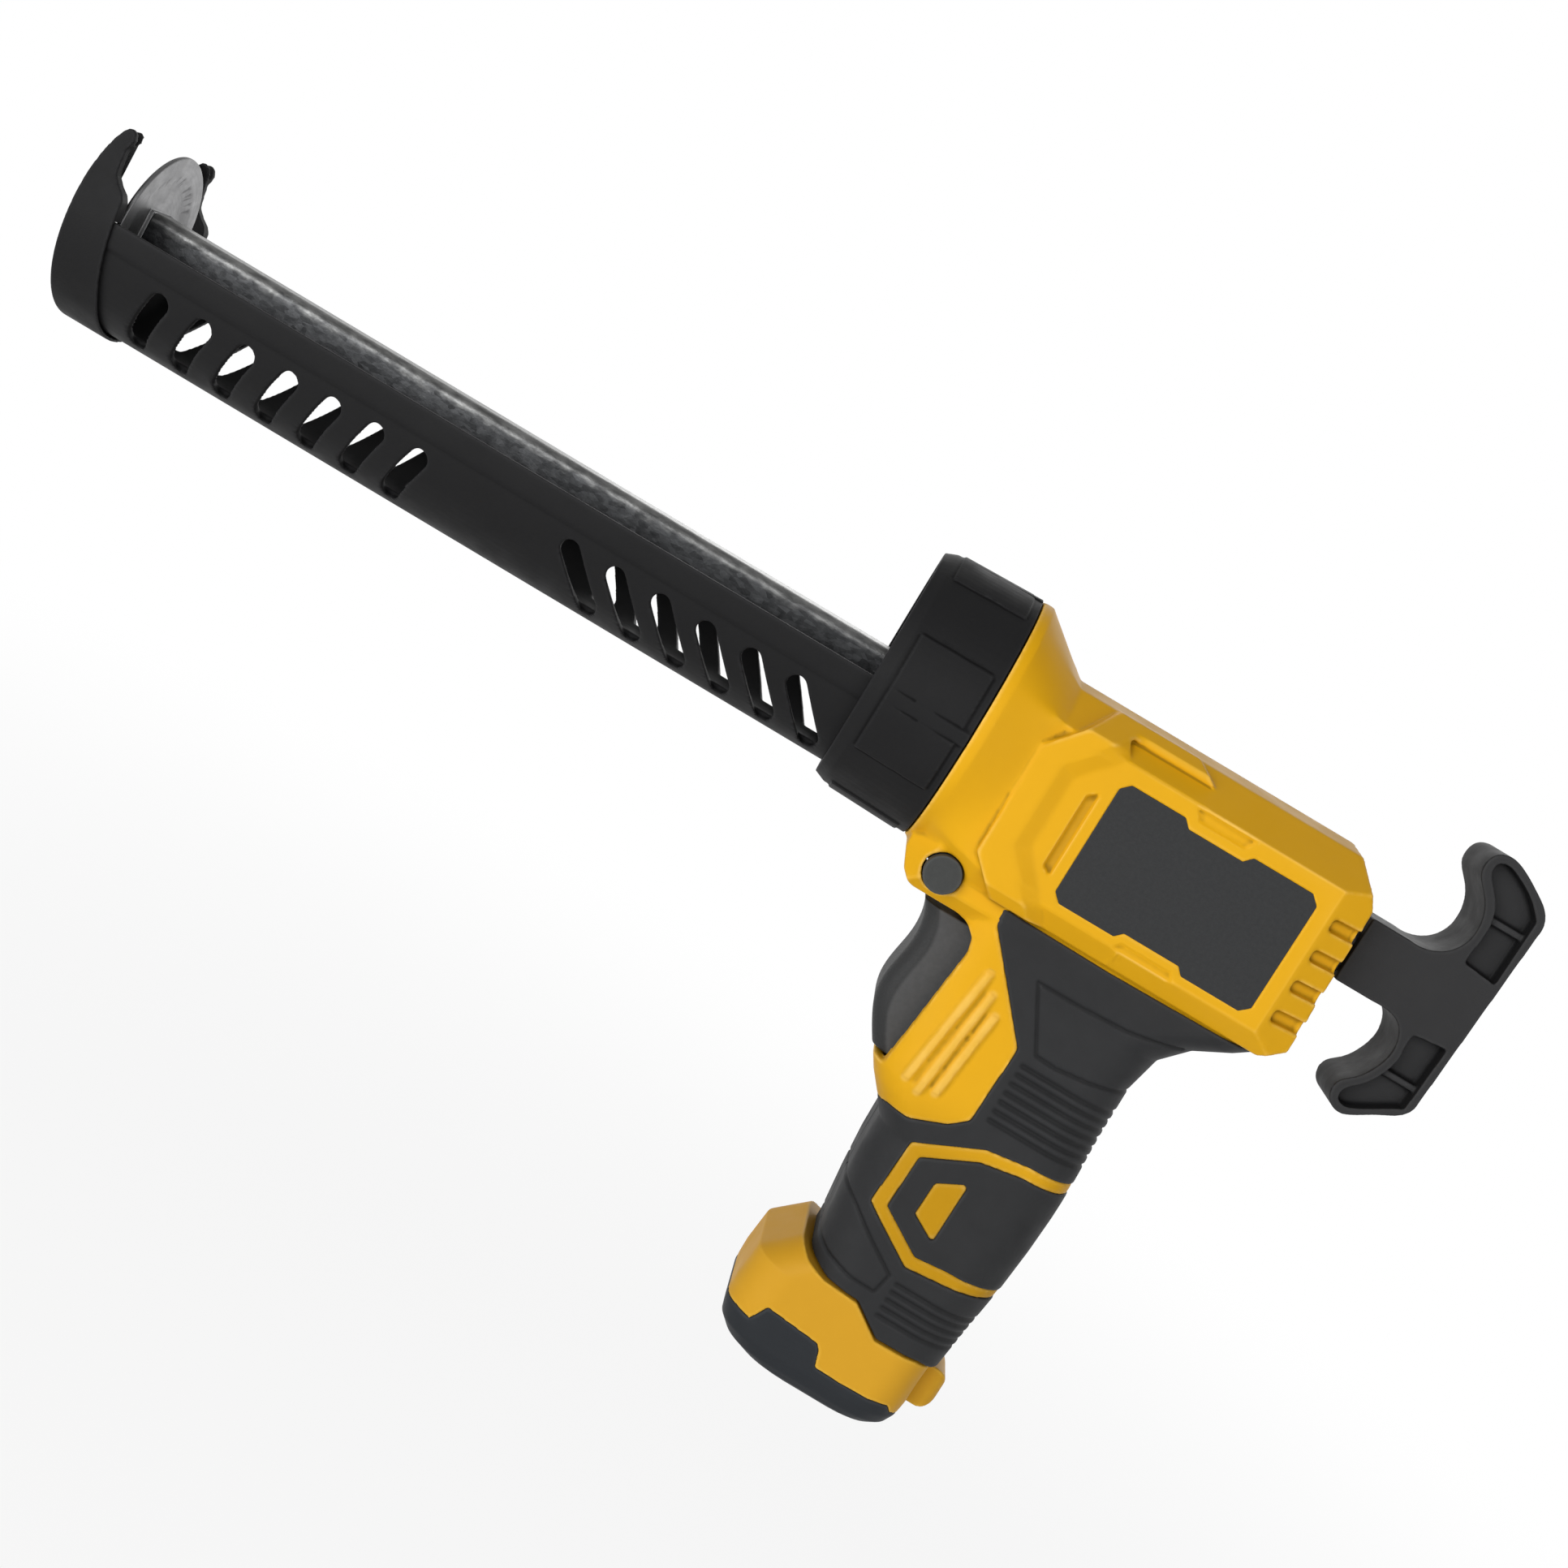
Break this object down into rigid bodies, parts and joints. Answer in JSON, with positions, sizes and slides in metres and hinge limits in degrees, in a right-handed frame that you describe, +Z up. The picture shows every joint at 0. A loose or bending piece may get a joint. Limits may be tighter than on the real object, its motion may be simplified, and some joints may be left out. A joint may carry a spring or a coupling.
{
  "type": "cordless caulking tool",
  "caption": "Battery caulking tool: open trough for a sealant cartridge on a rotating collar, geared pusher rod with T-handle, trigger grip with rubber sleeve, slide-out battery foot.",
  "frame": {"origin": "on the barrel axis, in the front plane of the casing where the cradle's collar meets it", "axes": "+X along the barrel axis to the rear handle (the nose is at -X), +Z up, the grip hangs to -Z, +Y to the tool's left seen from behind"},
  "size_m": [0.4024, 0.0696, 0.2109],
  "materials": {
    "yellow_plastic": "fine satin texture",
    "black_plastic": "satin",
    "trigger_plastic": "satin",
    "rubber": "soft matt",
    "label_plate": "fine matt grain",
    "galvanised_steel": "zinc plated, mottled",
    "plain_steel": "machined",
    "bronze": "sintered",
    "acetal": "smooth",
    "friction_lining": "matt",
    "board": "solder mask",
    "contact_brass": "bright",
    "cell_can": "wrapped cells, plain can"
  },
  "bodies": {
    "casing": {"casing_left": "yellow_plastic", "casing_right": "yellow_plastic", "grip_sleeve_left": "rubber", "grip_sleeve_right": "rubber", "grip_pad_left": "rubber", "grip_pad_right": "rubber", "label_left": "label_plate", "label_right": "label_plate", "casing_screws": "plain_steel", "spigot": "black_plastic", "front_bush": "acetal", "rear_bush": "acetal", "gear_pins": "plain_steel", "gear_plate_inner": "galvanised_steel", "gear_plate_outer": "galvanised_steel", "gear_plate_left": "galvanised_steel", "plate_posts": "plain_steel", "shaft_bushes": "bronze", "motor_can": "galvanised_steel", "motor_cap": "black_plastic", "motor_screws": "plain_steel", "switch_body": "black_plastic", "control_board": "board", "contact_block": "black_plastic", "contact_blades": "contact_brass"},
    "collar_ring": {"collar": "black_plastic"},
    "cradle_barrel": {"cradle": "black_plastic", "front_holder": "black_plastic"},
    "pusher": {"rod_channel": "galvanised_steel", "rod_rack": "galvanised_steel", "rod_plug": "plain_steel", "pusher_disc": "galvanised_steel", "disc_screw": "plain_steel", "t_handle": "black_plastic", "handle_pin": "plain_steel"},
    "pinion_shaft": {"rack_pinion": "plain_steel", "clutch_discs": "friction_lining", "clutch_nut": "plain_steel"},
    "wheel": {"clutch_wheel": "plain_steel"},
    "second": {"second_gear": "plain_steel"},
    "first": {"first_gear": "plain_steel"},
    "rotor": {"motor_armature": "plain_steel", "motor_pinion": "plain_steel"},
    "trigger_body": {"trigger": "trigger_plastic"},
    "lock": {"lock_button": "trigger_plastic"},
    "battery": {"battery_base": "yellow_plastic", "battery_boot": "rubber", "battery_stem": "black_plastic", "battery_cells": "cell_can"},
    "latch": {"battery_latch": "yellow_plastic"}
  },
  "joints": [
    {"name": "collar_turn", "type": "hinge", "parent": "casing", "child": "collar_ring", "pos_m": [-0.014, 0, 0], "axis": [1, 0, 0], "continuous": true},
    {"name": "cradle_turn", "type": "hinge", "parent": "casing", "child": "cradle_barrel", "pos_m": [-0.1, 0, 0], "axis": [1, 0, 0], "continuous": true},
    {"name": "rod_slide", "type": "slide", "parent": "casing", "child": "pusher", "axis": [1, 0, 0], "range_m": [0, 0.215]},
    {"name": "pinion_spin", "type": "hinge", "parent": "casing", "child": "pinion_shaft", "pos_m": [0.028, 0, -0.0144], "axis": [0, 1, 0], "range_deg": [-2, 1542]},
    {"name": "motor_spin", "type": "hinge", "parent": "casing", "child": "rotor", "pos_m": [0.08188, 0, -0.01999], "axis": [0, 1, 0], "continuous": true},
    {"name": "first_spin", "type": "hinge", "parent": "casing", "child": "first", "pos_m": [0.06758, 0.0173, -0.02239], "axis": [0, 1, 0], "continuous": true},
    {"name": "second_spin", "type": "hinge", "parent": "casing", "child": "second", "pos_m": [0.05218, 0.0139, -0.01989], "axis": [0, 1, 0], "continuous": true},
    {"name": "wheel_spin", "type": "hinge", "parent": "casing", "child": "wheel", "pos_m": [0.028, 0.0105, -0.0144], "axis": [0, 1, 0], "continuous": true},
    {"name": "trigger_pull", "type": "slide", "parent": "casing", "child": "trigger_body", "axis": [1, 0, 0], "range_m": [0, 0.006], "stiffness_N_per_m": 500, "springref_m": -0.006},
    {"name": "lock_push", "type": "slide", "parent": "casing", "child": "lock", "axis": [0, 1, 0], "range_m": [0, 0.002]},
    {"name": "battery_release", "type": "slide", "parent": "casing", "child": "battery", "axis": [0, 0, -1], "range_m": [0, 0.08]},
    {"name": "latch_press", "type": "slide", "parent": "battery", "child": "latch", "axis": [-1, 0, 0], "range_m": [0, 0.002], "stiffness_N_per_m": 800, "springref_m": -0.002}
  ],
  "couplings": [
    {"joint": "pinion_spin", "follows": "rod_slide", "rad_per_m": 125},
    {"joint": "first_spin", "follows": "motor_spin", "ratio": -0.20833},
    {"joint": "second_spin", "follows": "motor_spin", "ratio": 0.0625},
    {"joint": "wheel_spin", "follows": "motor_spin", "ratio": -0.015}
  ]
}
